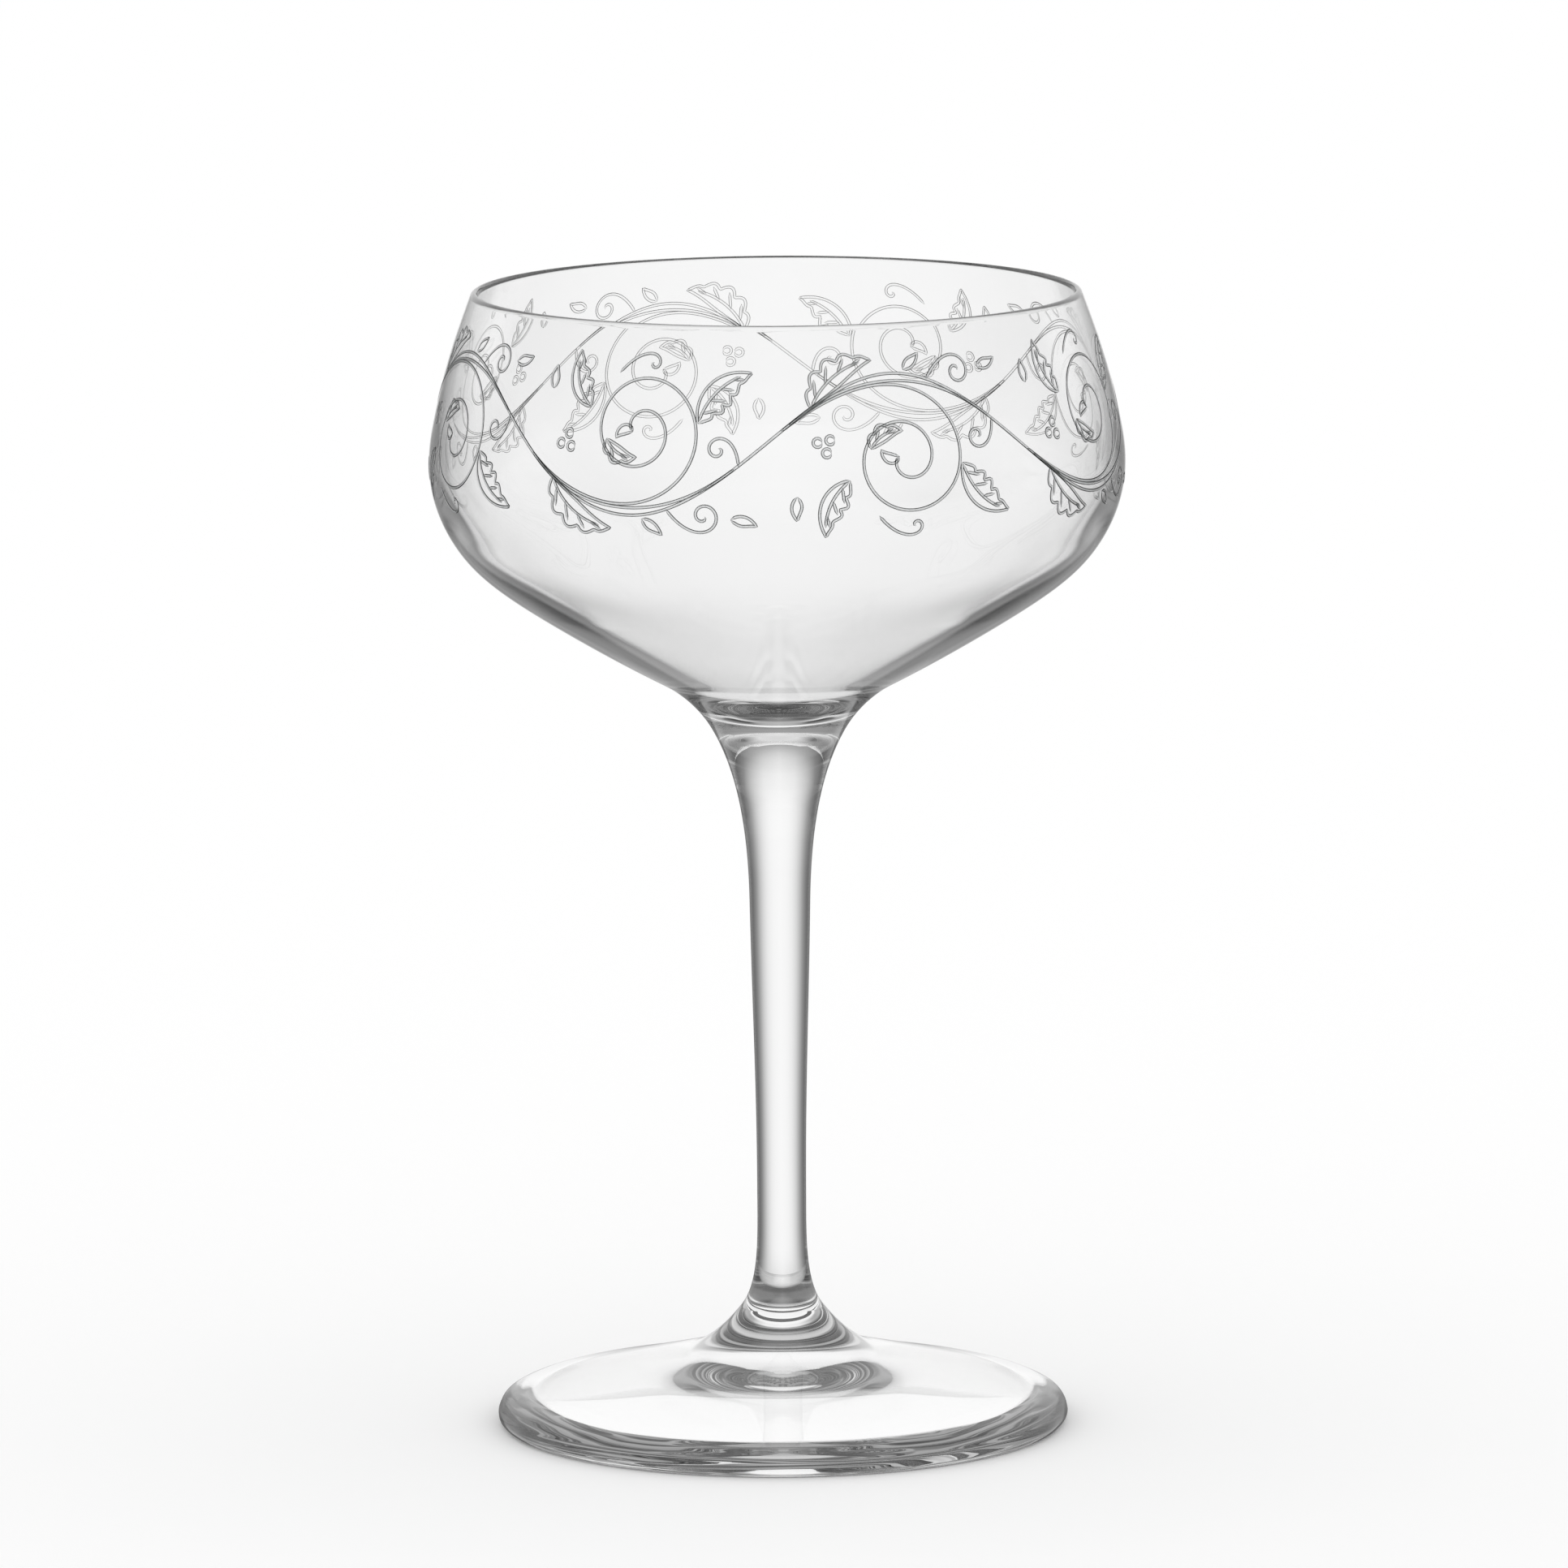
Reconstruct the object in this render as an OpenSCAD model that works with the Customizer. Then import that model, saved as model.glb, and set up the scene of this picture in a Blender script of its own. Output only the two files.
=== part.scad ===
// Stemmed coupe glass: blown bowl, drawn stem and pressed foot, fused at two flat seams.
// Millimetres. Z is the axis of the glass, and the foot rests on Z = 0.

/* [Overall] */
// Height from the table to the top of the rim
height = 155; // [148:0.5:162]

/* [Bowl] */
// Outside diameter where the rim starts to round over
rim_d = 82.4; // [79:0.1:86]
// Wall thickness at the rim
rim_wall = 1.0; // [0.8:0.05:1.3]
// Outside diameter half way down the upper wall
wall_d = 91.6; // [89:0.1:94]
// Outside diameter at the widest point
bowl_d = 93.9; // [91:0.1:98]
// Drop from the rim to the widest point
bulge_drop = 23.2; // [21:0.1:26]
// Wall thickness at the widest point
bulge_wall = 1.9; // [1.6:0.05:2.2]
// Wall thickness half way round the shoulder
mid_wall = 2.5; // [2.2:0.05:2.8]
// Outside diameter where the shoulder runs into the lower cone
cone_d = 67.7; // [65:0.1:70]
// Drop from the rim to that point
cone_drop = 42.7; // [41.5:0.1:44]
// Wall thickness there
cone_wall = 2.6; // [2.3:0.1:3]
// Outside diameter where the lower cone turns into the flare
flare_d = 31.6; // [29:0.1:34]
// Drop from the rim to that point
flare_drop = 53.2; // [51:0.1:55]
// Wall thickness there
flare_wall = 2.8; // [2.4:0.1:3.2]
// Glass left between the well inside and the seam below
well_floor = 3.3; // [2.5:0.1:5]

/* [Stem] */
// Drop from the rim to the seam under the bowl
bowl_seam_drop = 59.5; // [58:0.1:61]
// Diameter of that seam
bowl_seam_d = 18.2; // [16.5:0.1:20]
// Height of the neck, where the flare has died out
neck_z = 72; // [66:0.5:78]
// Diameter of the neck
neck_d = 8.25; // [7.5:0.05:9]
// Height of the thinnest point
waist_z = 32; // [28:0.5:38]
// Diameter of the thinnest point
waist_d = 6.65; // [6:0.05:7.4]

/* [Foot] */
// Height of the seam above the foot
foot_seam_z = 16; // [15:0.1:17]
// Diameter of that seam
foot_seam_d = 11.3; // [10:0.1:13]
// Outside diameter of the foot
foot_d = 77.4; // [76.4:0.2:82]
// Diameter where the flare meets the sloping top
shoulder_d = 27.2; // [24:0.2:30]
// Height of the top there
shoulder_z = 10; // [9:0.1:11]
// Diameter where the edge starts to roll over
edge_d = 70.8; // [67:0.2:73]
// Height of the top there
edge_z = 4.6; // [4:0.1:5.2]
// Height of the widest point of the edge
lip_z = 1.5; // [1:0.1:2]
// Outside diameter of the flat ring that the glass rests on
rest_d = 74.8; // [72:0.2:76]
// Inside diameter of that ring
rest_in_d = 68; // [62:0.5:70]
// Diameter where the rounded crown of the hollow under the foot meets its flank
crown_d = 40; // [34:0.5:46]
// Slope of that flank in degrees, about the slope of the top above it
flank_slope = 12.5; // [10:0.5:14]

/* [Hidden] */
glass = [0.86, 0.91, 0.9, 0.45];

// A profile point is [radius, height, direction], the direction in degrees up from level
function dir(a) = [cos(a), sin(a)];
function at(p) = [p[0], p[1]];
function bez(a, b, c, d, t) = pow(1 - t, 3) * a + 3 * pow(1 - t, 2) * t * b
    + 3 * (1 - t) * t * t * c + pow(t, 3) * d;
// Curve between two profile points, without its first point. ka and kb are how far it keeps
// its end directions, as shares of the straight distance
function span(p, q, ka, kb, n) =
    let (a = at(p), d = at(q), l = norm(d - a), b = a + ka * l * dir(p[2]), c = d - kb * l * dir(q[2]))
    [for (i = [1 : n]) bez(a, b, c, d, i / n)];
// The same points and directions run the other way
function back(p) = [p[0], p[1], p[2] + 180];
// The inner face opposite an outer point: wall is measured square to the surface, and the inner
// face runs flatter than the outer one by flat degrees, as the wall thickens downwards
function inner(p, wall, flat = 0) = [p[0] - wall * sin(p[2]), p[1] + wall * cos(p[2]), p[2] - flat];
smooth = 0.365;

// Outside of the bowl, seam to rim
bowl_seam_z = height - bowl_seam_drop;
bowl_seam = [bowl_seam_d / 2, bowl_seam_z, 59.7];
flare = [flare_d / 2, height - flare_drop, 27.4];
cone = [cone_d / 2, height - cone_drop, 33.1];
mid = [cone_d / 2 + 0.3835 * (bowl_d - cone_d), height - bulge_drop - 0.531 * (cone_drop - bulge_drop), 58.1];
bulge = [bowl_d / 2, height - bulge_drop, 90];
wall = [wall_d / 2, height - 0.66 * bulge_drop, 102.5];
rim = [rim_d / 2, height - rim_wall / 2, 110.4];
rim_top = [rim_d / 2 - 0.68 * rim_wall, height, 180];

// Inside of the bowl
rim_in = inner(rim, rim_wall, 1.2);
wall_in = inner(wall, (rim_wall + bulge_wall) / 2, 2.2);
bulge_in = inner(bulge, bulge_wall, 2.7);
mid_in = inner(mid, mid_wall, 0.8);
cone_in = inner(cone, cone_wall, 0.2);
flare_in = inner(flare, flare_wall, 0.4);
well = [0, bowl_seam_z + well_floor, 180];

// Stem
neck = [neck_d / 2, neck_z, 88.9];
waist = [waist_d / 2, waist_z, 90];
foot_seam = [foot_seam_d / 2, foot_seam_z, 130];

// Foot
shoulder = [shoulder_d / 2, shoulder_z, 164.4];
edge = [edge_d / 2, edge_z, 168.2];
lip = [foot_d / 2, lip_z, 90];
rest = [rest_d / 2, 0, 0];

// Hollow under the foot: a rounded crown, a straight flank and a soft turn into the ring
soft = 1;
flank_r = rest_in_d / 2 - soft;
fall = tan(flank_slope);
hollow_top = [0, fall * (flank_r - crown_d / 4), 0];
crown = [crown_d / 2, fall * (flank_r - crown_d / 2), -flank_slope];
heel = [flank_r - soft, fall * soft, -flank_slope];
ring = [rest_in_d / 2, 0, 0];

bowl_outline = concat(
    [[0, bowl_seam_z], at(bowl_seam)],
    span(bowl_seam, flare, 0.32, 0.34, 8),
    span(flare, cone, 0.4, 0.195, 12),
    span(cone, mid, 0.45, 0.3, 9),
    span(mid, bulge, 0.34, 0.345, 8),
    span(bulge, wall, smooth, smooth, 6),
    span(wall, rim, smooth, smooth, 6),
    span(rim, rim_top, smooth, smooth, 4),
    span(rim_top, back(rim_in), smooth, smooth, 4),
    span(back(rim_in), back(wall_in), smooth, smooth, 6),
    span(back(wall_in), back(bulge_in), smooth, smooth, 6),
    span(back(bulge_in), back(mid_in), 0.345, 0.34, 8),
    span(back(mid_in), back(cone_in), 0.3, 0.45, 9),
    span(back(cone_in), back(flare_in), 0.195, 0.4, 12),
    span(back(flare_in), well, 0.15, 0.42, 12));

stem_outline = concat(
    [[0, foot_seam_z], at(foot_seam)],
    span(foot_seam, waist, 0.25, 0.38, 14),
    span(waist, neck, 0.36, 0.41, 8),
    span(neck, bowl_seam, 0.33, 0.32, 16),
    [[0, bowl_seam_z]]);

foot_outline = concat(
    [at(hollow_top)],
    span(hollow_top, crown, 0.33, 0.33, 9),
    span(crown, heel, 0.33, 0.33, 1),
    span(heel, ring, 0.33, 0.33, 4),
    [at(rest)],
    span(rest, lip, 0.4, 0.4, 6),
    span(lip, edge, 0.4, 0.4, 10),
    span(edge, shoulder, 0.23, 0.23, 8),
    span(shoulder, foot_seam, 0.46, 0.1, 12),
    [[0, foot_seam_z]]);

module bowl() {
    color(glass) rotate_extrude() polygon(bowl_outline);
}

module stem() {
    color(glass) rotate_extrude() polygon(stem_outline);
}

module foot() {
    color(glass) rotate_extrude() polygon(foot_outline);
}

bowl();
stem();
foot();
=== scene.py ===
"""Dresses a stemmed coupe glass: blown bowl, drawn stem, pressed foot and an engraved band of scrolls."""

import logging
import math
from dataclasses import dataclass, field
from enum import Enum
from typing import NamedTuple

import bpy
import numpy as np
from mathutils import Euler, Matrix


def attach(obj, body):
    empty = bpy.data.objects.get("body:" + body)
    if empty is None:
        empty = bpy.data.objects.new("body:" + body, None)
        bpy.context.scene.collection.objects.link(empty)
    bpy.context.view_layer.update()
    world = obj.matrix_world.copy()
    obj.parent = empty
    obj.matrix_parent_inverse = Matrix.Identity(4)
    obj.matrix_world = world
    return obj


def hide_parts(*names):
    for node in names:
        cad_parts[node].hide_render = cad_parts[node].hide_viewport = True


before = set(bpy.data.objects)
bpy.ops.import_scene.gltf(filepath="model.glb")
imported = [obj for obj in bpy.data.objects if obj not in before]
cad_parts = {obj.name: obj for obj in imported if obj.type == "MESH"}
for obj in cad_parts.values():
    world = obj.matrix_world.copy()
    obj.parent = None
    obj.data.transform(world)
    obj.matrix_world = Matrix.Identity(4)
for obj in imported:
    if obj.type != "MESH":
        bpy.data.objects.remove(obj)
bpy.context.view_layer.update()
LOG = logging.getLogger("coupe")
MM = 0.001
Array = np.ndarray
NO_TRIANGLES = np.zeros((0, 3), dtype=int)


def linear(hex_colour: str) -> tuple[float, float, float, float]:
    """Turns an sRGB hex colour into linear light.

    Args:
        hex_colour: colour written as "#rrggbb".

    Returns:
        Red, green, blue and an alpha of 1.
    """
    srgb = np.array([int(hex_colour[i:i + 2], 16) for i in (1, 3, 5)]) / 255
    rgb = np.where(srgb <= 0.04045, srgb / 12.92, ((srgb + 0.055) / 1.055) ** 2.4)
    return (*(float(c) for c in rgb), 1.0)


def add_node(tree: bpy.types.NodeTree, kind: str, values: dict | None = None, **settings) -> bpy.types.Node:
    """Adds one node with its settings and links.

    Args:
        tree: node tree that gets the node.
        kind: Blender's name of the node's type.
        values: input name or number to a constant, or to an output socket that is linked in.
        settings: the node's own properties.

    Returns:
        The new node.
    """
    node = tree.nodes.new(kind)
    for name, value in settings.items():
        setattr(node, name, value)
    for name, value in (values or {}).items():
        if isinstance(value, bpy.types.NodeSocket):
            tree.links.new(value, node.inputs[name])
        else:
            node.inputs[name].default_value = value
    return node


def new_material(name: str) -> tuple[bpy.types.Material, bpy.types.NodeTree, bpy.types.Node]:
    """Starts a material with no nodes but its output.

    Args:
        name: the material's name.

    Returns:
        The material, its node tree and its output node.
    """
    material = bpy.data.materials.new(name)
    material.use_nodes = True
    tree = material.node_tree
    tree.nodes.clear()
    return material, tree, tree.nodes.new("ShaderNodeOutputMaterial")


@dataclass(frozen=True)
class ClearGlass:
    """Fire-polished soda-lime glass: clear and colourless, with slow waves left by mould and flame."""

    name: str = "soda_lime_glass_fire_polished"
    colour: str = "#ffffff"
    ior: float = 1.52
    wave_mm: float = 9.0
    wave_depth_mm: float = 0.004

    def make(self) -> bpy.types.Material:
        """Builds the glass, whose bump is a slow wave from 3D noise.

        Returns:
            The material.
        """
        material, tree, out = new_material(self.name)
        coord = add_node(tree, "ShaderNodeTexCoord")
        waves = add_node(tree, "ShaderNodeTexNoise", {
            "Vector": coord.outputs["Object"], "Scale": 1 / (self.wave_mm * MM),
            "Detail": 1.0, "Roughness": 0.4})
        bump = add_node(tree, "ShaderNodeBump", {
            "Height": waves.outputs["Fac"], "Strength": 1.0, "Distance": self.wave_depth_mm * MM})
        shader = add_node(tree, "ShaderNodeBsdfPrincipled", {
            "Base Color": linear(self.colour), "Roughness": 0.0, "IOR": self.ior,
            "Transmission Weight": 1.0, "Normal": bump.outputs["Normal"]})
        tree.links.new(shader.outputs["BSDF"], out.inputs["Surface"])
        return material


@dataclass(frozen=True)
class FusedSeam:
    """Hot-fused glass: where two pieces have melted together light passes straight through."""

    name: str = "soda_lime_glass_hot_fused"
    colour: str = "#ffffff"

    def make(self) -> bpy.types.Material:
        """Builds the see-through face that a fused seam leaves inside the glass.

        Returns:
            The material.
        """
        material, tree, out = new_material(self.name)
        shader = add_node(tree, "ShaderNodeBsdfTransparent", {"Color": linear(self.colour)})
        tree.links.new(shader.outputs["BSDF"], out.inputs["Surface"])
        return material


@dataclass(frozen=True)
class EngravedGlass:
    """Etched line in the glass: matt, with painted shade along both edges where the groove turns, paler in
    the middle.
    """

    name: str = "soda_lime_glass_etched_line"
    # edge is painted shade along the line's edges, where the groove turns the light; middle is its paler
    # tone
    edge: str = "#8a8d8d"
    middle: str = "#e0e2e2"
    under: str = "#ffffff"
    hatch_mm: float = 0.55
    ior: float = 1.2
    hatch_low: float = 0.3
    hatch_high: float = 0.7
    hatch_shift: float = 0.2
    matt: float = 0.35
    matt_under: float = 0.16

    def make(self) -> bpy.types.Material:
        """Builds the line: painted edge shade by place across it, broken up along it by the marks of the
        wheel.

        Seen from inside the glass, through the bead's lower side, the line is almost clear.

        Returns:
            The material.
        """
        material, tree, out = new_material(self.name)
        across = add_node(tree, "ShaderNodeAttribute", attribute_name="across").outputs["Fac"]
        below = add_node(tree, "ShaderNodeAttribute", attribute_name="below").outputs["Fac"]
        coord = add_node(tree, "ShaderNodeTexCoord")
        marks = add_node(tree, "ShaderNodeTexNoise", {
            "Vector": coord.outputs["Object"], "Scale": 1 / (self.hatch_mm * MM),
            "Detail": 2.0, "Roughness": 0.6})
        shift = add_node(tree, "ShaderNodeMapRange", {
            "Value": marks.outputs["Fac"], "From Min": self.hatch_low, "From Max": self.hatch_high,
            "To Min": -self.hatch_shift, "To Max": self.hatch_shift})
        place = add_node(tree, "ShaderNodeMath", {0: across, 1: shift.outputs["Result"]}, operation="ADD")
        # Painted shade: the line's colour darkens from its middle tone towards both edges
        groove = add_node(tree, "ShaderNodeMix", {
            "Factor": place.outputs[0], "A": linear(self.middle), "B": linear(self.edge)}, data_type="RGBA")
        back = add_node(tree, "ShaderNodeNewGeometry").outputs["Backfacing"]
        lower = add_node(tree, "ShaderNodeMath", {0: below, 1: 0.5}, operation="GREATER_THAN")
        inside = add_node(tree, "ShaderNodeMath", {0: lower.outputs[0], 1: back}, operation="MAXIMUM")
        colour = add_node(tree, "ShaderNodeMix", {
            "Factor": inside.outputs[0], "A": groove.outputs["Result"], "B": linear(self.under)},
            data_type="RGBA")
        rough = add_node(tree, "ShaderNodeMapRange", {
            "Value": inside.outputs[0], "To Min": self.matt, "To Max": self.matt_under})
        shader = add_node(tree, "ShaderNodeBsdfPrincipled", {
            "Base Color": colour.outputs["Result"], "Roughness": rough.outputs["Result"], "IOR": self.ior,
            "Transmission Weight": 1.0})
        tree.links.new(shader.outputs["BSDF"], out.inputs["Surface"])
        return material


class Point(NamedTuple):
    """A profile point: radius and height in millimetres, and the wall's way in degrees up from level."""

    r: float
    z: float
    angle: float


# For each curve: how far it keeps its first and its last direction, as shares of the straight distance, and
# its number of points.
Spans = tuple[tuple[float, float, int], ...]
# For each wave round a ring: its count, depth, shift and turn per millimetre.
Waves = tuple[tuple[int, float, float, float], ...]


def way_along(path: Array) -> Array:
    """Distance along a path at each of its points.

    Args:
        path: points of the path, of shape (n, 2).

    Returns:
        The distance, nought at the first point.
    """
    return np.concatenate([[0], np.cumsum(np.linalg.norm(np.diff(path, axis=0), axis=1))])


def span(p: Point, q: Point, keep_p: float, keep_q: float, count: int, crowd: float = 0.0) -> Array:
    """Cubic curve between two profile points, which leaves and arrives along their directions.

    Args:
        p: first point.
        q: last point.
        keep_p: how far the curve keeps p's direction, as a share of the straight distance.
        keep_q: the same at q.
        count: number of points made, the first one left out.
        crowd: how much closer the points lie towards q, up to 1, or towards p if below zero.

    Returns:
        Radius and height of each point, in millimetres.
    """
    ends = np.array([[p.r, p.z], [q.r, q.z]])
    turn = np.radians([p.angle, q.angle])
    ways = np.stack([np.cos(turn), np.sin(turn)], axis=1) * np.linalg.norm(ends[1] - ends[0])
    a, d = ends
    b, c = a + keep_p * ways[0], d - keep_q * ways[1]
    t = (np.arange(1, count + 1) / count)[:, None]
    t = t + crowd * t * (1 - t)
    return (1 - t) ** 3 * a + 3 * (1 - t) ** 2 * t * b + 3 * (1 - t) * t ** 2 * c + t ** 3 * d


def chain(points: tuple[Point, ...], spans: Spans) -> Array:
    """Cubic curves through a row of profile points, one after the other.

    Args:
        points: the points in order.
        spans: the curves between them.

    Returns:
        Radius and height of each point but the first, in millimetres.
    """
    return np.concatenate([span(p, q, *curve) for p, q, curve in zip(points, points[1:], spans)])


def revolve(outline: Array, segments: int, waves: Array | None = None) -> tuple[Array, Array, Array]:
    """Turns an outline about Z: a ring of points at (r cos u, r sin u, z) for each outline point.

    Args:
        outline: radius and height in millimetres, from a point on the axis round to another on the axis.
        segments: points in a ring.
        waves: optional offset in millimetres added to the radius, of shape (rings, segments).

    Returns:
        Points in metres, the quads between rings, and the triangles round the two poles.
    """
    rings = outline[1:-1]
    u = np.arange(segments) * 2 * np.pi / segments
    radius = rings[:, :1] + (np.zeros((len(rings), segments)) if waves is None else waves)
    height = np.broadcast_to(rings[:, 1:], radius.shape)
    grid = np.stack([radius * np.cos(u), radius * np.sin(u), height], axis=-1)
    poles = np.array([[0, 0, outline[0, 1]], [0, 0, outline[-1, 1]]])
    points = np.concatenate([grid.reshape(-1, 3), poles]) * MM
    index = np.arange(len(rings) * segments).reshape(len(rings), segments)
    turn = np.roll(index, -1, axis=1)
    quads = np.stack([index[:-1], turn[:-1], turn[1:], index[1:]], axis=-1).reshape(-1, 4)
    low, high = len(rings) * segments, len(rings) * segments + 1
    first = np.stack([np.full(segments, low), turn[0], index[0]], axis=-1)
    last = np.stack([np.full(segments, high), index[-1], turn[-1]], axis=-1)
    return points, quads, np.concatenate([first, last])


def make_mesh(name: str, points: Array, quads: Array, triangles: Array) -> bpy.types.Object:
    """Puts points and faces into a smooth mesh object at the origin.

    Args:
        name: the piece's name.
        points: points in metres.
        quads: indices of the four-sided faces.
        triangles: indices of the three-sided faces, put in after the quads.

    Returns:
        The object, linked to the scene.
    """
    mesh = bpy.data.meshes.new(name)
    mesh.vertices.add(len(points))
    mesh.vertices.foreach_set("co", points.astype(np.float32).ravel())
    corners = np.concatenate([quads.ravel(), triangles.ravel()]).astype(np.int32)
    sizes = np.concatenate([np.full(len(quads), 4), np.full(len(triangles), 3)])
    mesh.loops.add(len(corners))
    mesh.loops.foreach_set("vertex_index", corners)
    mesh.polygons.add(len(sizes))
    mesh.polygons.foreach_set("loop_start", (np.cumsum(sizes) - sizes).astype(np.int32))
    mesh.polygons.foreach_set("use_smooth", np.ones(len(sizes), dtype=bool))
    mesh.update(calc_edges=True)
    mesh.validate()
    piece = bpy.data.objects.new(name, mesh)
    bpy.context.scene.collection.objects.link(piece)
    return piece


@dataclass
class GlassBody:
    """The three fused pieces of glass, with the part's own sizes in millimetres and directions in degrees.

    The ripples of the foot's edge turn with the radius, its streaks with the way along the outline.
    """

    height: float = 155.0
    rim_d: float = 82.4
    rim_wall: float = 1.0
    wall_d: float = 91.6
    bowl_d: float = 93.9
    bulge_drop: float = 23.2
    bulge_wall: float = 1.9
    mid_wall: float = 2.5
    cone_d: float = 67.7
    cone_drop: float = 42.7
    cone_wall: float = 2.6
    flare_d: float = 31.6
    flare_drop: float = 53.2
    flare_wall: float = 2.8
    well_floor: float = 3.3
    bowl_seam_drop: float = 59.5
    bowl_seam_d: float = 18.2
    neck_z: float = 72.0
    neck_d: float = 8.25
    waist_z: float = 32.0
    waist_d: float = 6.65
    foot_seam_z: float = 16.0
    foot_seam_d: float = 11.3
    foot_d: float = 77.4
    shoulder_d: float = 27.2
    shoulder_z: float = 10.0
    edge_d: float = 70.8
    edge_z: float = 4.6
    lip_z: float = 1.5
    rest_d: float = 74.8
    rest_in_d: float = 68.0
    crown_d: float = 40.0
    flank_slope: float = 12.5
    soft: float = 1.0
    bowl_seam_angle: float = 59.7
    wall_angles: tuple[float, ...] = (27.4, 33.1, 58.1, 90.0, 102.5, 110.4)
    wall_flats: tuple[float, ...] = (0.4, 0.2, 0.8, 2.7, 2.2, 1.2)
    mid_out: float = 0.3835
    mid_fall: float = 0.531
    wall_fall: float = 0.66
    rim_in: float = 0.68
    neck_angle: float = 88.9
    foot_seam_angle: float = 130.0
    shoulder_angle: float = 164.4
    edge_angle: float = 168.2
    rim_crowd: float = 0.95
    wall_count: int = 14
    wall_keeps: tuple[tuple[float, float], ...] = (
        (0.4, 0.195), (0.45, 0.3), (0.34, 0.345), (0.365, 0.365), (0.365, 0.365))
    flare_spans: Spans = ((0.32, 0.34, 18),)
    rim_spans: Spans = ((0.365, 0.365, 6), (0.365, 0.365, 6))
    well_spans: Spans = ((0.15, 0.42, 30),)
    stem_spans: Spans = ((0.25, 0.38, 36), (0.36, 0.41, 40), (0.33, 0.32, 40))
    hollow_spans: Spans = ((0.33, 0.33, 24), (0.33, 0.33, 8), (0.33, 0.33, 10))
    foot_spans: Spans = ((0.4, 0.4, 18), (0.4, 0.4, 30), (0.23, 0.23, 20), (0.46, 0.1, 24))
    bowl_segments: int = 288
    stem_segments: int = 128
    foot_segments: int = 512
    crease: float = 15.0
    seam_within: float = 0.001
    ripples: Waves = (
        (4, 0.05, 0.3, 0.05), (9, 0.035, 1.7, 0.12), (19, 0.018, 4.1, -0.2), (37, 0.008, 2.2, 0.3))
    streaks: Waves = ((2, 0.03, 0.3, 2.6), (3, 0.02, 1.7, -4.2))
    ripple_from_r: float = 29.0
    ripple_full_over: float = 8.0
    ripple_full_z: float = 0.8
    glass: bpy.types.Material = field(default_factory=lambda: ClearGlass().make())
    seam: bpy.types.Material = field(default_factory=lambda: FusedSeam().make())

    def bowl_seam(self) -> Point:
        """The edge of the fused disc under the bowl."""
        return Point(self.bowl_seam_d / 2, self.height - self.bowl_seam_drop, self.bowl_seam_angle)

    def foot_seam(self) -> Point:
        """The edge of the fused disc above the foot."""
        return Point(self.foot_seam_d / 2, self.foot_seam_z, self.foot_seam_angle)

    def outer_points(self) -> list[Point]:
        """The points up the outside of the bowl: flare, cone, mid shoulder, bulge, upper wall and rim.

        Returns:
            The six points.
        """
        fall = self.cone_drop - self.bulge_drop
        places = [
            (self.flare_d / 2, self.height - self.flare_drop),
            (self.cone_d / 2, self.height - self.cone_drop),
            (self.cone_d / 2 + self.mid_out * (self.bowl_d - self.cone_d),
             self.height - self.bulge_drop - self.mid_fall * fall),
            (self.bowl_d / 2, self.height - self.bulge_drop),
            (self.wall_d / 2, self.height - self.wall_fall * self.bulge_drop),
            (self.rim_d / 2, self.height - self.rim_wall / 2)]
        return [Point(r, z, angle) for (r, z), angle in zip(places, self.wall_angles)]

    def inner_points(self) -> list[Point]:
        """The points of the inner face, each one wall thickness square in from an outer point.

        Returns:
            The six points from the rim down, their directions turned to run down too.
        """
        walls = (self.flare_wall, self.cone_wall, self.mid_wall, self.bulge_wall,
                 (self.rim_wall + self.bulge_wall) / 2, self.rim_wall)
        points = []
        for p, wall, flat in zip(self.outer_points(), walls, self.wall_flats):
            way = math.radians(p.angle)
            r, z = p.r - wall * math.sin(way), p.z + wall * math.cos(way)
            points.append(Point(r, z, p.angle - flat + 180))
        return points[::-1]

    def outer_wall(self, count: int) -> Array:
        """Outside of the bowl from the flare to the rim, with points that crowd at the rim.

        Args:
            count: points to a span.

        Returns:
            Radius and height of each point, in millimetres.
        """
        points = self.outer_points()
        first = points[0]
        crowds = [0.0] * (len(self.wall_keeps) - 1) + [self.rim_crowd]
        spans = [span(p, q, *keep, count, crowd)
                 for p, q, keep, crowd in zip(points, points[1:], self.wall_keeps, crowds)]
        return np.concatenate([np.array([[first.r, first.z]]), *spans])

    def bowl_outline(self) -> Array:
        """Outline of the bowl, from the seam's centre up the outside, over the rim and down to the well.

        Returns:
            Radius and height of each point, in millimetres.
        """
        seam = self.bowl_seam()
        outer, inner = self.outer_points(), self.inner_points()
        top = Point(self.rim_d / 2 - self.rim_in * self.rim_wall, self.height, 180.0)
        well = Point(0.0, seam.z + self.well_floor, 180.0)
        crowds = [-self.rim_crowd] + [0.0] * (len(self.wall_keeps) - 1)
        return np.concatenate([
            np.array([[0.0, seam.z], [seam.r, seam.z]]),
            chain((seam, outer[0]), self.flare_spans), self.outer_wall(self.wall_count)[1:],
            chain((outer[-1], top, inner[0]), self.rim_spans),
            *[span(p, q, *keep[::-1], self.wall_count, crowd)
              for p, q, keep, crowd in zip(inner, inner[1:], self.wall_keeps[::-1], crowds)],
            chain((inner[-1], well), self.well_spans)])

    def stem_outline(self) -> Array:
        """Outline of the stem, from the lower seam's centre up its side to the upper seam's centre.

        Returns:
            Radius and height of each point, in millimetres.
        """
        low, high = self.foot_seam(), self.bowl_seam()
        neck = Point(self.neck_d / 2, self.neck_z, self.neck_angle)
        waist = Point(self.waist_d / 2, self.waist_z, 90.0)
        return np.concatenate([
            np.array([[0.0, low.z], [low.r, low.z]]),
            chain((low, waist, neck, high), self.stem_spans), np.array([[0.0, high.z]])])

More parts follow.
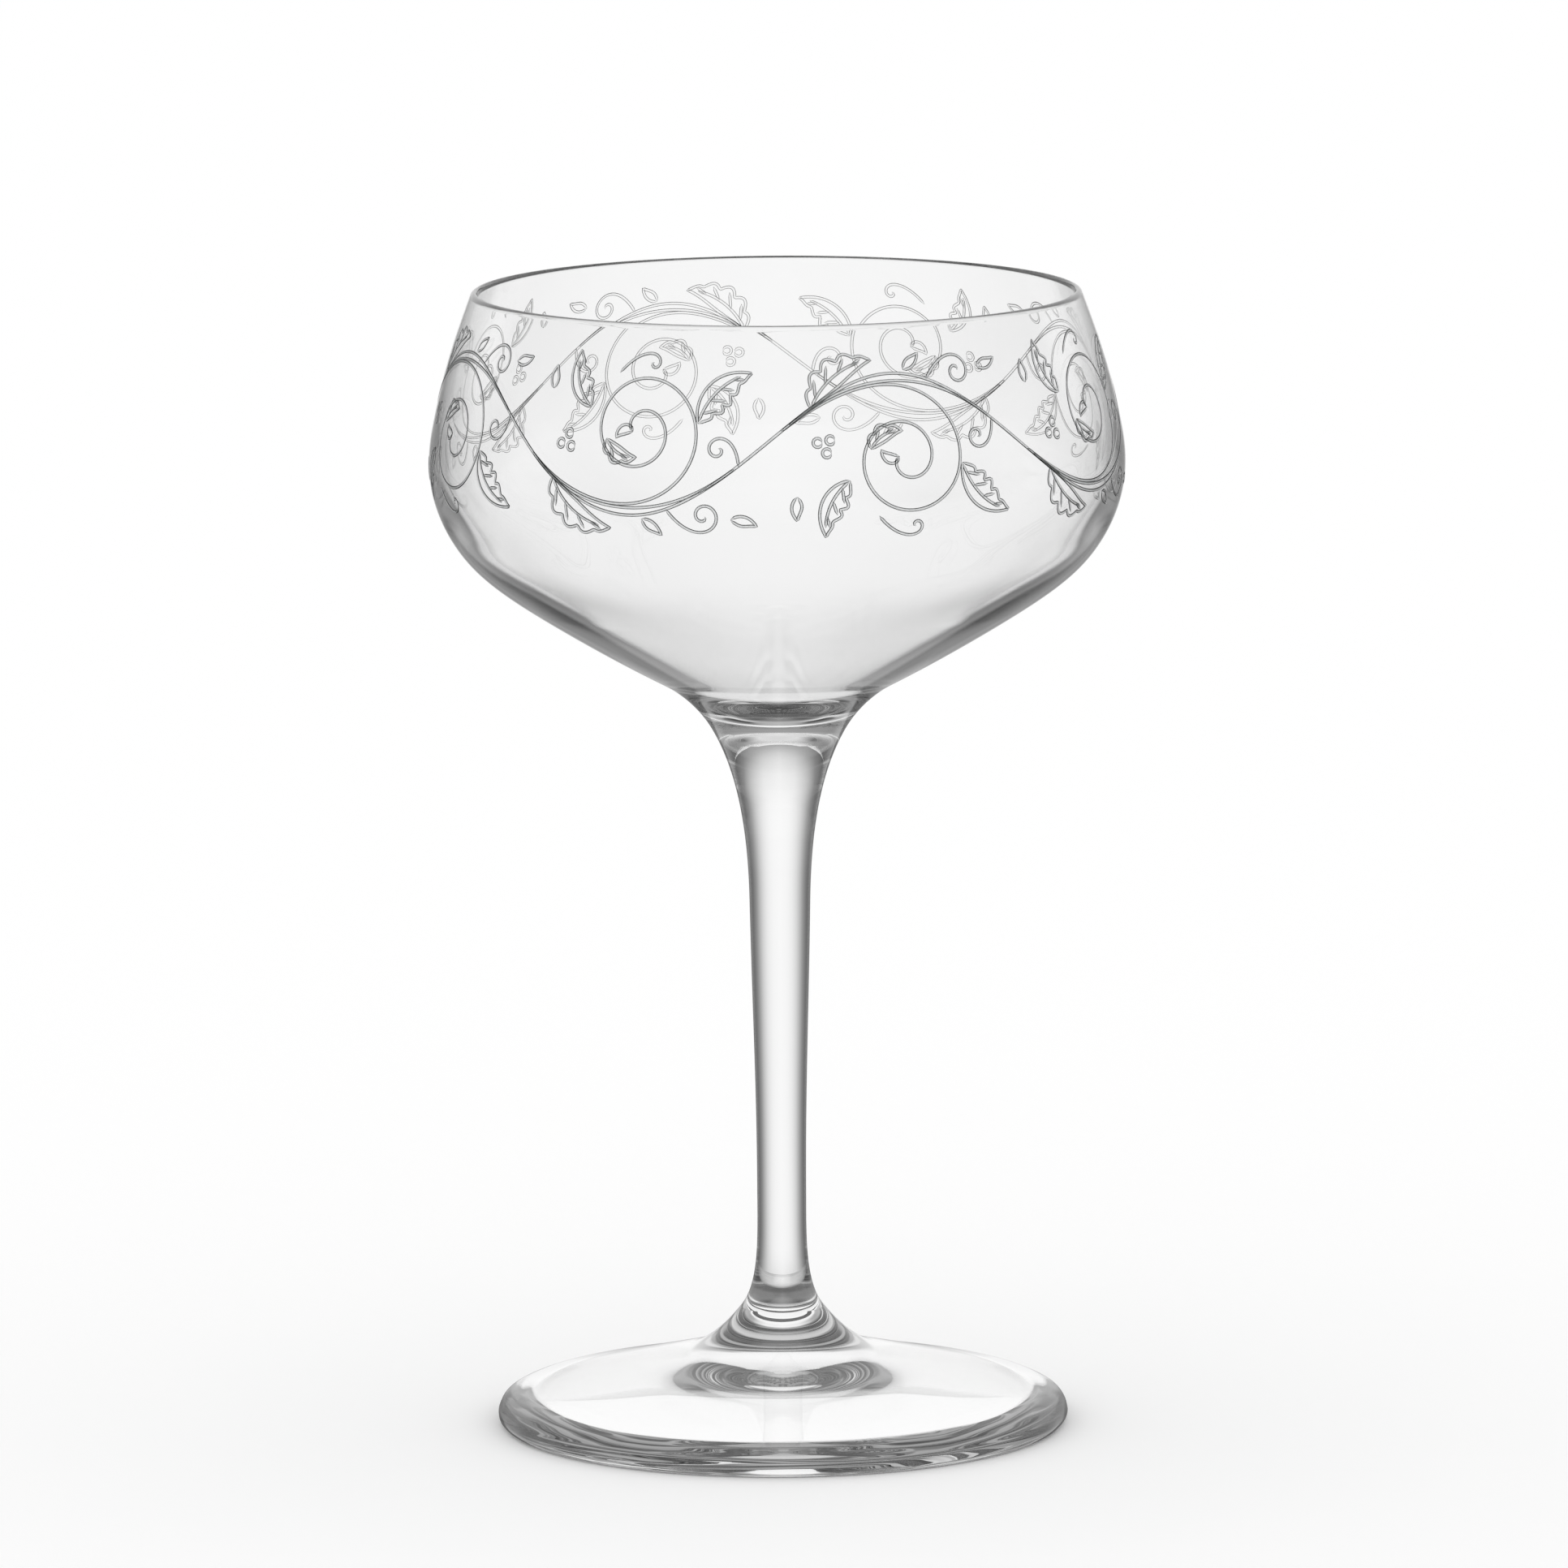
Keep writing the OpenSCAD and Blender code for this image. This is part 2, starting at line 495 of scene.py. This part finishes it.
    def foot_outline(self) -> Array:
        """Outline of the foot, from the hollow's centre round rest ring and rolled edge to the seam.

        The hollow is a rounded crown, a straight flank and a soft turn into the ring.

        Returns:
            Radius and height of each point, in millimetres.
        """
        seam = self.foot_seam()
        shoulder = Point(self.shoulder_d / 2, self.shoulder_z, self.shoulder_angle)
        edge = Point(self.edge_d / 2, self.edge_z, self.edge_angle)
        lip = Point(self.foot_d / 2, self.lip_z, 90.0)
        rest = Point(self.rest_d / 2, 0.0, 0.0)
        flank_r, fall = self.rest_in_d / 2 - self.soft, math.tan(math.radians(self.flank_slope))
        top = Point(0.0, fall * (flank_r - self.crown_d / 4), 0.0)
        crown = Point(self.crown_d / 2, fall * (flank_r - self.crown_d / 2), -self.flank_slope)
        heel = Point(flank_r - self.soft, fall * self.soft, -self.flank_slope)
        ring = Point(self.rest_in_d / 2, 0.0, 0.0)
        return np.concatenate([
            np.array([[0.0, top.z]]), chain((top, crown, heel, ring), self.hollow_spans),
            np.array([[rest.r, rest.z]]), chain((rest, lip, edge, shoulder, seam), self.foot_spans),
            np.array([[0.0, seam.z]])])

    def edge_ripple(self, outline: Array, segments: int) -> Array:
        """Unevenness of the foot's rolled edge: sines round the foot and finer ones that wind along it.

        Both fade out inwards and at the rest ring.

        Args:
            outline: outline of the foot.
            segments: points in a ring.

        Returns:
            Offset of the radius in millimetres, of shape (rings, segments).
        """
        r, z = outline[1:-1, :1], outline[1:-1, 1:]
        u = np.arange(segments) * 2 * np.pi / segments
        along = way_along(outline[1:-1])[:, None]
        waves = sum(depth * np.sin(count * u + shift + twist * place)
                    for place, group in ((r, self.ripples), (along, self.streaks))
                    for count, depth, shift, twist in group)
        fade = np.clip((r - self.ripple_from_r) / self.ripple_full_over, 0, 1) ** 2
        return fade * np.clip(z / self.ripple_full_z, 0, 1) * waves

    def piece(self, node: str, outline: Array, segments: int, seams: tuple[float, ...],
              waves: Array | None = None) -> bpy.types.Object:
        """Turns one outline into a closed piece that stands for a node.

        Args:
            node: name of the node and of the piece.
            outline: the piece's outline in millimetres.
            segments: points in a ring.
            seams: heights of the flat faces that are fused to a neighbour.
            waves: optional offset of the radius in millimetres, of shape (rings, segments).

        Returns:
            The finished piece.
        """
        points, quads, triangles = revolve(outline, segments, waves)
        piece = make_mesh(node, points, quads, triangles)
        mesh = piece.data
        mesh.materials.append(self.glass)
        mesh.materials.append(self.seam)
        centres = np.zeros(len(mesh.polygons) * 3, dtype=np.float32)
        mesh.polygons.foreach_get("center", centres)
        flat = np.zeros(len(mesh.polygons), dtype=np.int32)
        for height in seams:
            flat |= (np.abs(centres[2::3] - height * MM) < self.seam_within * MM).astype(np.int32)
        mesh.polygons.foreach_set("material_index", flat)
        mesh.set_sharp_from_angle(angle=math.radians(self.crease))
        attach(piece, "root")
        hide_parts(node)
        return piece

    def build(self) -> list[bpy.types.Object]:
        """Builds bowl, stem and foot.

        Returns:
            The three pieces.
        """
        low, high, foot = self.foot_seam().z, self.bowl_seam().z, self.foot_outline()
        ripple = self.edge_ripple(foot, self.foot_segments)
        return [self.piece("bowl", self.bowl_outline(), self.bowl_segments, (high,)),
                self.piece("stem", self.stem_outline(), self.stem_segments, (low, high)),
                self.piece("foot", foot, self.foot_segments, (low,), ripple)]


class Hand(Enum):
    """Which way a curl turns as it winds in."""

    CLOCKWISE = -1
    ANTICLOCKWISE = 1


@dataclass
class EngravedBand:
    """A running scroll of volutes, lobed leaves, tendrils and buds round the bowl, sizes in millimetres.

    The drawing is flat: across is the way round the bowl, and up is along its wall from the band's middle.
    """

    body: GlassBody
    middle_z: float = 139.6
    round_r: float = 46.2
    repeats: int = 4
    arch: float = 9.4
    line: float = 0.44
    rise: float = 0.03
    sink: float = 0.08
    step: float = 0.28
    start: float = -2.0
    tip: float = 0.5
    tip_width: float = 0.12
    berry: float = 0.6
    main_points: int = 3200
    wall_count: int = 80
    fewest_steps: int = 8
    brow_out: float = 0.62
    brow_rise: float = 0.75
    # Share of the painted edge shade that the brows take
    brow_painted_shade: float = 0.9
    edge_sink: float = 0.4
    second_from: float = 0.1
    second_drop: float = 1.0
    curl_points: int = 240
    curl_pull: float = 1.8
    curl_eye: float = 0.1
    curl_ease: float = 0.9
    leaf_points: int = 160
    leaf_peak: float = 0.8
    leaf_notch: float = 0.38
    lower_share: float = 0.55
    lower_peak: float = 0.9
    rib_from: int = 4
    rib_to: int = 136
    vein_root: float = 0.35
    vein_end: float = 0.42
    vein_reach: float = 0.7
    etched: bpy.types.Material = field(default_factory=lambda: EngravedGlass().make())

    def half(self) -> float:
        """Length of half a repeat, from one crossing of the main stem to the next."""
        return math.pi * self.round_r / self.repeats

    def stem(self, share: Array) -> Array:
        """Points of the main stem, a sine wave, at shares of half a repeat."""
        return np.stack([share * self.half(), self.arch * np.sin(np.pi * share)], axis=-1)

    def curl(self, base: tuple[float, float], centre: tuple[float, float], radius: float, turns: float,
             hand: Hand) -> Array:
        """A line that runs in from its base and winds up: its radius falls fast, then evenly to an eye.

        Args:
            base: where it starts.
            centre: what it winds round.
            radius: radius of its first full turn.
            turns: number of turns.
            hand: which way it winds.

        Returns:
            Points along the line.
        """
        reach = np.subtract(base, centre)
        swept = np.linspace(0, 1, self.curl_points) * turns * 2 * np.pi
        angle = math.atan2(reach[1], reach[0]) + hand.value * swept
        away = (np.hypot(*reach) - radius) * np.exp(-self.curl_pull * swept)
        wound = (1 - swept / swept[-1]) ** self.curl_ease
        away = away + radius * (self.curl_eye + (1 - self.curl_eye) * wound)
        return np.array(centre) + away[:, None] * np.stack([np.cos(angle), np.sin(angle)], axis=-1)

    def leaf(self, base: tuple[float, float], heading: float, bend: float, length: float, width: float,
             lobes: float = 0.0) -> list[Array]:
        """A leaf on a bent rib: the outline swells as a sine, scalloped on one side by the lobes.

        Args:
            base: where it grows from.
            heading: direction of the rib at the base, degrees.
            bend: turn of the rib over its length, degrees.
            length: length of the rib.
            width: half the breadth.
            lobes: number of scallops; none makes a plain bud.

        Returns:
            The outline and, on a lobed leaf, the rib and short veins.
        """
        t = np.linspace(0, 1, self.leaf_points)
        angle = np.radians(heading + bend * t)
        way = np.stack([np.cos(angle), np.sin(angle)], axis=-1)
        steps = np.cumsum(way[:-1] * np.diff(t)[:, None], axis=0)
        rib = np.array(base) + length * np.concatenate([[[0, 0]], steps])
        side = np.stack([-way[:, 1], way[:, 0]], axis=-1)
        swell = np.sin(np.pi * t ** self.leaf_peak)
        notches = 1 - np.abs(np.sin(np.pi * lobes * t)) if lobes else np.zeros_like(t)
        upper = rib + side * (width * swell * (1 - self.leaf_notch * notches))[:, None]
        lower = rib - side * (self.lower_share * width * np.sin(np.pi * t ** self.lower_peak))[:, None]
        outline = np.concatenate([upper, lower[-2::-1]])
        if not lobes:
            return [outline]
        ends = np.searchsorted(t, (np.arange(1, int(lobes)) + self.vein_end) / lobes)
        roots = np.searchsorted(t, (np.arange(1, int(lobes)) - self.vein_root) / lobes)
        tips = rib + self.vein_reach * (upper - rib)
        veins = [np.linspace(rib[i], tips[j], 12) for i, j in zip(roots, ends)]
        return [outline, rib[self.rib_from:self.rib_to], *veins]

    def ring(self, centre: tuple[float, float], radius: float) -> Array:
        """A small berry."""
        angle = np.linspace(0, 2 * np.pi, 40)
        return np.array(centre) + radius * np.stack([np.cos(angle), np.sin(angle)], axis=-1)

    def motif(self) -> list[Array]:
        """The lines of half a repeat, under an arch of the main stem that starts at the origin.

        Returns:
            The points of each line.
        """
        share = np.linspace(self.second_from, 1 - self.second_from, 120)
        dip = np.sin(np.pi * (share - self.second_from) / (1 - 2 * self.second_from))[:, None] ** 2
        second = self.stem(share) - np.array([0, self.second_drop]) * dip
        volute = self.curl((2.6, 2.1), (19.4, -1.9), 9.8, 2.0, Hand.CLOCKWISE)
        lines = [second, volute]
        lines += self.leaf((6.6, 5.0), 66, -62, 11.5, 2.6, 5)
        lines += self.leaf((27.6, -3.0), -76, 66, 10.5, 2.6, 5)
        lines += self.leaf((11.6, -4.6), 214, 66, 8.6, 2.2, 4)
        lines += self.leaf((14.6, -0.6), 62, -70, 5.4, 1.5, 3)
        lines += self.leaf(tuple(volute[-1]), 200, -80, 2.8, 0.8)
        lines += [self.curl((23.6, 8.4), (28.6, 9.2), 2.4, 1.5, Hand.CLOCKWISE)]
        lines += [self.curl((33.2, 2.6), (30.4, 0.4), 1.9, 1.3, Hand.CLOCKWISE)]
        lines += [self.curl((15.4, -9.4), (20.6, -10.9), 1.3, 1.2, Hand.ANTICLOCKWISE)]
        lines += self.leaf((20.2, 9.8), 24, 30, 3.4, 0.8)
        lines += self.leaf((32.2, 9.6), -10, 50, 3.6, 0.85)
        lines += self.leaf((4.6, -6.6), 250, 40, 3.2, 0.85)
        lines += [self.ring(spot, self.berry) for spot in ((8.6, -0.9), (7.4, 0.5), (9.1, 0.8))]
        return lines

    def wall(self, flat: Array, lift: Array) -> Array:
        """Carries flat points onto the bowl.

        Args:
            flat: across and up, of shape (n, 2).
            lift: height off the surface along its normal.

        Returns:
            Points in metres.
        """
        outline = self.body.outer_wall(self.wall_count)
        along = way_along(outline)
        tangent = np.gradient(outline, along, axis=0)
        place = np.interp(self.middle_z, outline[:, 1], along) + flat[:, 1]
        r, z, tr, tz = (np.interp(place, along, column) for column in (*outline.T, *tangent.T))
        angle = flat[:, 0] / self.round_r - math.pi / 2
        radius = r + lift * tz
        return np.stack([radius * np.cos(angle), radius * np.sin(angle), z - lift * tr], axis=-1) * MM

    def bead(self, path: Array, closed: bool = False) -> tuple[Array, Array, Array]:
        """Runs a thin six-sided bead along a flat path.

        Round its section lie edge, brow, crest, brow and edge, and a keel in the glass below.

        Args:
            path: points of the path.
            closed: whether it runs once round the bowl into its own start; otherwise both ends are pointed.

        Returns:
            Points in metres, quads, and for each point how near it is to the line's edge, which sets its
            painted edge shade, and how far below.
        """
        along = way_along(path)
        count = max(int(along[-1] / self.step), self.fewest_steps)
        even = np.linspace(0, along[-1], count + 1)
        spine = np.stack([np.interp(even, along, column) for column in path.T], axis=-1)
        way = np.gradient(spine, axis=0)
        way /= np.maximum(np.linalg.norm(way, axis=1), 1e-9)[:, None]
        side = np.stack([-way[:, 1], way[:, 0]], axis=-1)
        from_end = np.minimum(even, even[-1] - even)
        taper = np.ones_like(even) if closed else np.clip(from_end / self.tip, self.tip_width, 1)
        across = np.array([-1, -self.brow_out, 0, self.brow_out, 1, 0])
        edge, brow, sides = -self.edge_sink * self.sink, self.brow_rise * self.rise, len(across)
        lift = np.array([edge, brow, self.rise, brow, edge, -self.sink])
        flat = spine[:, None] + side[:, None] * (self.line / 2 * taper[:, None] * across)[..., None]
        points = self.wall(flat.reshape(-1, 2), np.tile(lift, len(spine)))
        index = np.arange(len(points)).reshape(-1, sides)
        turn = np.roll(index, -1, axis=1)
        quads = np.stack([index[:-1], index[1:], turn[1:], turn[:-1]], axis=-1).reshape(-1, 4)
        if closed:
            quads = np.where(quads >= len(points) - sides, quads - len(points) + sides, quads)
            points = points[:-sides]
        else:
            caps = np.array([[0, 1, 2, 5], [2, 3, 4, 5]])
            quads = np.concatenate([quads, caps, index[-1][caps[:, ::-1]]])
        # Painted shade weights: full at the edges, nearly full at the brows, none at the crest and keel
        painted_edge_shade, below = [1.0, self.brow_painted_shade, 0.0, self.brow_painted_shade, 1.0, 0.0], [0.5, 0, 0, 0, 0.5, 1.0]
        return points, quads, np.tile(np.array([painted_edge_shade, below]).T, (len(points) // sides, 1))

    def build(self) -> bpy.types.Object:
        """Engraves every repeat, each second half upside down, and joins the lines into one piece.

        Returns:
            The band.
        """
        origin = np.array([self.start, 0])
        main_stem = self.stem(np.linspace(0, 2 * self.repeats, self.main_points))
        beads = [self.bead(main_stem + origin, closed=True)]
        for number in range(2 * self.repeats):
            flip = np.array([1, 1 if number % 2 == 0 else -1])
            shift = np.array([number * self.half(), 0])
            beads += [self.bead(path * flip + shift + origin) for path in self.motif()]
        starts = np.cumsum([0] + [len(points) for points, _, _ in beads[:-1]])
        points = np.concatenate([points for points, _, _ in beads])
        quads = np.concatenate([quads + first for (_, quads, _), first in zip(beads, starts)])
        tones = np.concatenate([tones for _, _, tones in beads])
        piece = make_mesh("engraved_band", points, quads, NO_TRIANGLES)
        # The across attribute carries the painted edge shade; below marks the keel
        for column, name in enumerate(("across", "below")):
            layer = piece.data.attributes.new(name, "FLOAT", "POINT")
            layer.data.foreach_set("value", tones[:, column].astype(np.float32))
        piece.data.materials.append(self.etched)
        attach(piece, "root")
        return piece


Curve = tuple[tuple[float, float], ...]
Rows = tuple[tuple[float, Curve], ...]

# Brightness of the tent. Each row is a height in degrees above the camera's axis, with pairs of degrees
# round from straight behind the glass and brightness there. The first table is for light that only passes
# through the glass, the second for light that is also reflected inside it.
SIDES: Curve = ((58, 0.1), (75, 0.08), (98, 0.08), (115, 0.4), (130, 0.77), (180, 0.77))
WHITE: Curve = ((0, 1), (8, 0.98), (12, 0.95), (17, 0.88), (22, 0.77), (27, 0.63), (32, 0.48), (37, 0.34),
                (42, 0.25), (50, 0.15), *SIDES)
STRAIGHT: Rows = (
    (-90, ((0, 0.2), (180, 0.2))),
    (-45, ((0, 0.6), (20, 0.5), (42, 0.3), *SIDES)),
    (-28, ((0, 0.85), (8, 0.75), (22, 0.65), (42, 0.3), *SIDES)),
    (-10, WHITE),
    (12, WHITE),
    (20, ((0, 0.95), (14, 0.87), (28, 0.6), (43, 0.25), *SIDES)),
    (25, ((0, 0.86), (13, 0.76), (26, 0.53), (39, 0.27), *SIDES)),
    (32, ((0, 0.68), (12, 0.58), (25, 0.38), (37, 0.24), *SIDES)),
    (39, ((0, 0.42), (12, 0.38), (26, 0.34), (40, 0.2), *SIDES)),
    (90, ((0, 0.35), (180, 0.35))),
)
LOW: Curve = ((52, 0.32), (70, 0.18), (120, 0.11), (145, 0.15), (180, 0.32))
BOUNCED: Rows = (
    (-90, ((0, 0.12), (180, 0.12))),
    (-65, ((0, 0.3), (14, 0.25), (25, 0.2), (60, 0.2), (91, 0.14), (148, 0.12), (180, 0.15))),
    (-46, ((0, 0.25), (8, 0.2), (21, 0.08), (36, 0.22), (75, 0.22), (100, 0.12), (180, 0.13))),
    (-38, ((0, 0.42), (8, 0.36), (14, 0.2), (20, 0.14), (35, 0.24), (75, 0.15), (180, 0.2))),
    (-34, ((0, 0.48), (12, 0.42), (20, 0.3), (35, 0.27), (50, 0.2), (75, 0.15), (128, 0.13), (180, 0.2))),
    (-29, ((0, 0.5), (8, 0.45), (11, 0.55), (16, 0.68), (26, 0.8), (35, 0.55), (48, 0.24), (75, 0.15),
           (180, 0.2))),
    (-25.5, ((0, 0.5), (8, 0.42), (11, 0.55), (16, 0.7), (23, 0.8), (31, 0.85), (42, 0.55), (55, 0.25),
             (75, 0.15), (125, 0.12), (180, 0.25))),
    (-23.5, ((0, 0.5), (5, 0.45), (8, 0.36), (11, 0.07), (20, 0.05), (23, 0.3), (26, 0.8), (31, 0.85),
             (45, 0.55), *LOW)),
    (-20, ((0, 0.5), (5, 0.45), (8, 0.34), (11, 0.06), (20, 0.03), (23.5, 0.1), (27, 0.75), (31, 0.85),
           (45, 0.6), *LOW)),
    (-15, ((0, 0.5), (5, 0.45), (8, 0.32), (11, 0.1), (20, 0.08), (23.5, 0.1), (27, 0.75), (31, 0.85),
           (40, 0.7), *LOW)),
    (-11, ((0, 0.5), (5, 0.42), (8, 0.28), (11, 0.17), (20, 0.16), (23, 0.14), (26, 0.6), (31, 0.8),
           (40, 0.65), *LOW)),
    (-6, ((0, 0.5), (5, 0.36), (8, 0.24), (22, 0.2), (27, 0.5), (35, 0.6), (44, 0.5), *LOW)),
    (-3, ((0, 0.85), (5, 0.6), (9, 0.26), (20, 0.26), (26, 0.45), (31, 0.5), (44, 0.5), (60, 0.27),
          (78, 0.22), (88, 0.5), (100, 0.42), (115, 0.25), (180, 0.4))),
    (1, ((0, 1), (6, 0.95), (9, 0.75), (13, 0.42), (16, 0.38), (24, 0.45), (31, 0.52), (44, 0.5),
         (60, 0.27), (78, 0.22), (88, 0.55), (100, 0.45), (115, 0.28), (180, 0.5))),
    (9, ((0, 1), (11, 0.95), (15, 0.55), (26, 0.5), (31, 0.55), (44, 0.55), (60, 0.35), (78, 0.3),
         (88, 0.6), (100, 0.5), (115, 0.3), (180, 0.5))),
    (14, ((0, 1), (60, 0.9), (75, 0.55), (98, 0.4), (180, 0.7))),
    (25, ((0, 1), (40, 1), (60, 0.8), (75, 0.45), (98, 0.3), (130, 0.4), (180, 0.7))),
    (33, ((0, 1), (60, 0.85), (75, 0.5), (102, 0.25), (130, 0.35), (180, 0.6))),
    (48, ((0, 0.9), (60, 0.8), (75, 0.45), (90, 0.3), (113, 0.3), (140, 0.5), (180, 0.6))),
    (60, ((0, 0.8), (60, 0.7), (75, 0.4), (88, 0.12), (100, 0.15), (115, 0.4), (180, 0.7))),
    (75, ((0, 0.78), (180, 0.75))),
    (90, ((0, 0.7), (180, 0.7))),
)


@dataclass(frozen=True)
class PaintedTentLight:
    """Tent cloth that glows with painted light, no lamp: the mesh's own attributes hold its two painted
    tones.

    Light that only passes through the glass meets the straight tone. Light that is also reflected inside
    it meets the bounced tone, painted darker below and at the sides as if dark cards stood there to give a
    clear glass its edges. The more often it was reflected, the dimmer it is painted.
    """

    name: str = "tent_painted_light"
    dim_from: float = 1.5
    dim_to: float = 4.0
    dimmest: float = 0.4

    def make(self) -> bpy.types.Material:
        """Builds the glowing cloth.

        Returns:
            The material.
        """
        material, tree, out = new_material(self.name)
        straight, bounced = (add_node(tree, "ShaderNodeAttribute", attribute_name=name).outputs["Fac"]
                             for name in ("straight", "bounced"))
        times = add_node(tree, "ShaderNodeLightPath").outputs["Glossy Depth"]
        inside = add_node(tree, "ShaderNodeMath", {0: times, 1: 0.5}, operation="GREATER_THAN")
        often = add_node(tree, "ShaderNodeMapRange", {
            "Value": times, "From Min": self.dim_from, "From Max": self.dim_to,
            "To Min": 1.0, "To Max": self.dimmest})
        dimmed = add_node(tree, "ShaderNodeMath", {
            0: bounced, 1: often.outputs["Result"]}, operation="MULTIPLY")
        tone = add_node(tree, "ShaderNodeMix", {
            "Factor": inside.outputs[0], "A": straight, "B": dimmed.outputs[0]}, data_type="FLOAT")
        # Painted light: the cloth glows with its painted tone; no lamp lights it
        light = add_node(tree, "ShaderNodeEmission", {"Color": tone.outputs["Result"], "Strength": 1.0})
        tree.links.new(light.outputs["Emission"], out.inputs["Surface"])
        return material


@dataclass(frozen=True)
class PaperSweep:
    """White paper sweep: matt and even, so that only the shadow shows on it."""

    name: str = "white_paper_sweep"
    colour: str = "#ffffff"

    def make(self) -> bpy.types.Material:
        """Builds the plain matt paper.

        Returns:
            The material.
        """
        material, tree, out = new_material(self.name)
        paper = add_node(tree, "ShaderNodeBsdfDiffuse", {"Color": linear(self.colour)})
        tree.links.new(paper.outputs["BSDF"], out.inputs["Surface"])
        return material


@dataclass
class Studio:
    """White sweep, a light tent that goes with the camera, and the camera at the photograph's angle."""

    distance: float = 1.75
    eye_z: float = 0.35996
    pitch: float = 8.8412
    roll: float = 0.35
    side: float = 0.00065
    lens: float = 300.6
    sensor: float = 36.0
    sight: float = 50.0
    tent_radius: float = 0.9
    floor_reach: float = 12.0
    sky: str = "#ffffff"
    bounces: int = 96
    seam_bounces: int = 16

    def camera(self) -> bpy.types.Object:
        """Makes the camera: a long lens a little above the rim.

        Returns:
            The camera.
        """
        data = bpy.data.cameras.new("camera")
        data.lens, data.sensor_width, data.clip_end = self.lens, self.sensor, self.sight
        camera = bpy.data.objects.new("camera", data)
        camera.location = (self.side, -self.distance, self.eye_z)
        turn = Euler((math.radians(90 - self.pitch), 0.0, math.radians(-self.roll)), "ZYX")
        camera.rotation_euler = turn.to_matrix().to_euler()
        bpy.context.scene.collection.objects.link(camera)
        bpy.context.scene.camera = camera
        return camera

    def chart(self, turn: Array, lift: Array, rows: Rows) -> Array:
        """Brightness over the tent, blended straight between the heights that have a curve.

        Args:
            turn: degrees round from straight behind the glass.
            lift: degrees up from level.
            rows: height in degrees, rising, with a curve of (degrees round, brightness) there.

        Returns:
            Brightness, of shape (lift, turn).
        """
        curves = np.stack([np.interp(np.abs(turn), *np.array(curve).T) for _, curve in rows])
        place = np.interp(lift, [height for height, _ in rows], np.arange(len(rows)))
        row = np.minimum(place.astype(int), len(rows) - 2)
        share = (place - row)[:, None]
        return curves[row] * (1 - share) + curves[row + 1] * share

    def tent(self, camera: bpy.types.Object) -> bpy.types.Object:
        """Makes the tent, a ball that only reflections and refractions see.

        Its point at a turn and a lift is (cos lift sin turn, sin lift, -cos lift cos turn) in the camera's
        axes, times the radius and moved back to the glass.

        Args:
            camera: the camera that the tent hangs from.

        Returns:
            The tent.
        """
        turn, lift = np.arange(-180.0, 181.0), np.arange(-90.0, 91.0)
        ring = np.cos(np.radians(lift))[:, None]
        x, away = ring * np.sin(np.radians(turn)), ring * np.cos(np.radians(turn))
        up = np.broadcast_to(np.sin(np.radians(lift))[:, None], x.shape)
        depth = self.distance / math.cos(math.radians(self.pitch))
        ball = np.stack([x, up, -away], axis=-1).reshape(-1, 3) * self.tent_radius
        index = np.arange(x.size).reshape(x.shape)
        corners = [index[:-1, :-1], index[:-1, 1:], index[1:, 1:], index[1:, :-1]]
        quads = np.stack(corners, axis=-1).reshape(-1, 4)
        tent = make_mesh("light_tent", ball - np.array([0, 0, depth]), quads, NO_TRIANGLES)
        for name, rows in (("straight", STRAIGHT), ("bounced", BOUNCED)):
            layer = tent.data.attributes.new(name, "FLOAT", "POINT")
            layer.data.foreach_set("value", self.chart(turn, lift, rows).astype(np.float32).ravel())
        tent.data.materials.append(PaintedTentLight().make())
        tent.parent = camera
        tent.visible_camera = tent.visible_diffuse = tent.visible_shadow = False
        return tent

    def floor(self) -> bpy.types.Object:
        """Makes the white floor, which takes the shadow; the glass sees the tent in its place.

        Returns:
            The floor.
        """
        reach = self.floor_reach
        points = np.array([[-reach, -reach, 0], [reach, -reach, 0], [reach, reach, 0], [-reach, reach, 0]])
        floor = make_mesh("floor", points, np.array([[0, 1, 2, 3]]), NO_TRIANGLES)
        floor.data.materials.append(PaperSweep().make())
        floor.visible_glossy = floor.visible_transmission = False
        return floor

    def world(self) -> None:
        """Lights the scene with an even white sky."""
        world = bpy.data.worlds.new("white_studio")
        world.use_nodes = True
        tree = world.node_tree
        tree.nodes.clear()
        light = add_node(tree, "ShaderNodeBackground", {"Color": linear(self.sky), "Strength": 1.0})
        add_node(tree, "ShaderNodeOutputWorld", {"Surface": light.outputs["Background"]})
        bpy.context.scene.world = world

    def build(self) -> None:
        """Sets up camera, tent, floor, sky and the light's bounces through thick glass."""
        scene = bpy.context.scene
        self.tent(self.camera())
        self.floor()
        self.world()
        scene.view_settings.view_transform = "Standard"
        scene.cycles.max_bounces = self.bounces
        scene.cycles.glossy_bounces = self.bounces
        scene.cycles.transmission_bounces = self.bounces
        scene.cycles.transparent_max_bounces = self.seam_bounces


def main() -> None:
    """Builds the glass and the studio round it."""
    logging.basicConfig(level=logging.INFO, format="%(name)s: %(message)s")
    body = GlassBody()
    for piece in (*body.build(), EngravedBand(body).build()):
        LOG.info("%s: %d faces", piece.name, len(piece.data.polygons))
    Studio().build()


if __name__ == "__main__":
    main()
